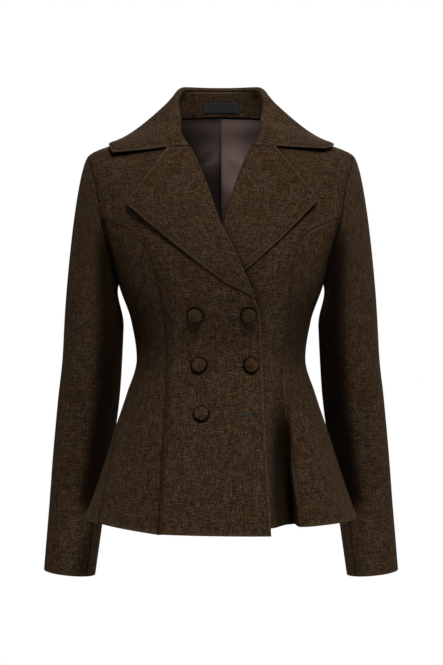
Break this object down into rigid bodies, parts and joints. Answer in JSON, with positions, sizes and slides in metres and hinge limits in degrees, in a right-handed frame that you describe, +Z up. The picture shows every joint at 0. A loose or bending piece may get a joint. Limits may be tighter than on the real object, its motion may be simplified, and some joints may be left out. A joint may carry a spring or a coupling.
{
  "type": "blazer",
  "caption": "Fitted double-breasted tweed blazer with wide notched lapels, long two-piece sleeves, covered buttons and a flared peplum, filled out hollow as worn.",
  "frame": {"origin": "centre of the neck between the wearer's shoulders, at the height of the shoulder seams' neck ends", "axes": "+Z up, -Y to the garment's front, +X to the wearer's left"},
  "size_m": [0.526, 0.2909, 0.7231],
  "materials": {
    "tweed": "matte wool tweed, dark brown with rust and tan flecks",
    "satin_lining": "satin, mauve brown",
    "woven_label": "bare black woven tape"
  },
  "bodies": {
    "root": {"front_centre_right": "tweed", "front_centre_left": "tweed", "front_side_right": "tweed", "front_side_left": "tweed", "back_centre_right": "tweed", "back_centre_left": "tweed", "back_side_right": "tweed", "back_side_left": "tweed", "sleeve_top_right": "tweed", "sleeve_top_left": "tweed", "sleeve_under_right": "tweed", "sleeve_under_left": "tweed", "lapel_right": "tweed", "lapel_left": "tweed", "collar_fall": "tweed", "collar_stand": "tweed", "lining_back_right": "satin_lining", "lining_back_left": "satin_lining", "neck_label": "woven_label", "button_outer_1": "tweed", "button_outer_2": "tweed", "button_outer_3": "tweed", "button_edge_1": "tweed", "button_edge_2": "tweed"}
  },
  "joints": []
}
